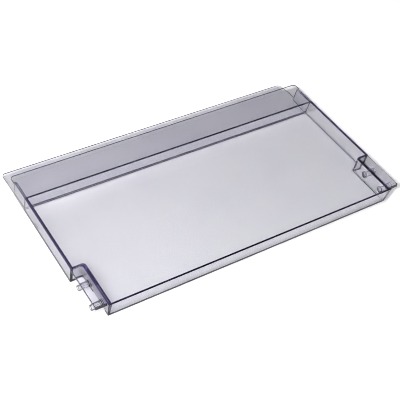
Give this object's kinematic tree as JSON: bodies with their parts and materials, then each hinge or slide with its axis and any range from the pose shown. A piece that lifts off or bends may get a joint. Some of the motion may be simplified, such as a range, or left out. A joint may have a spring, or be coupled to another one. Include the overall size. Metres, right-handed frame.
{
  "type": "freezer drawer front panel",
  "caption": "Clear plastic freezer drawer front: a shallow walled tray with a finger grip along one long side and notched corners with ledges and hollow pins.",
  "frame": {"origin": "centre of the panel's plan, on the plane of its outer face", "axes": "+X along the long side, +Y from the notched side towards the finger grip, +Z from the outer face to the rim"},
  "size_m": [0.4416, 0.2696, 0.0263],
  "materials": {
    "clear_plastic": "clear polystyrene with a faint blue-violet tint, polished"
  },
  "bodies": {
    "root": {"drawer_front_panel": "clear_plastic"}
  },
  "joints": []
}
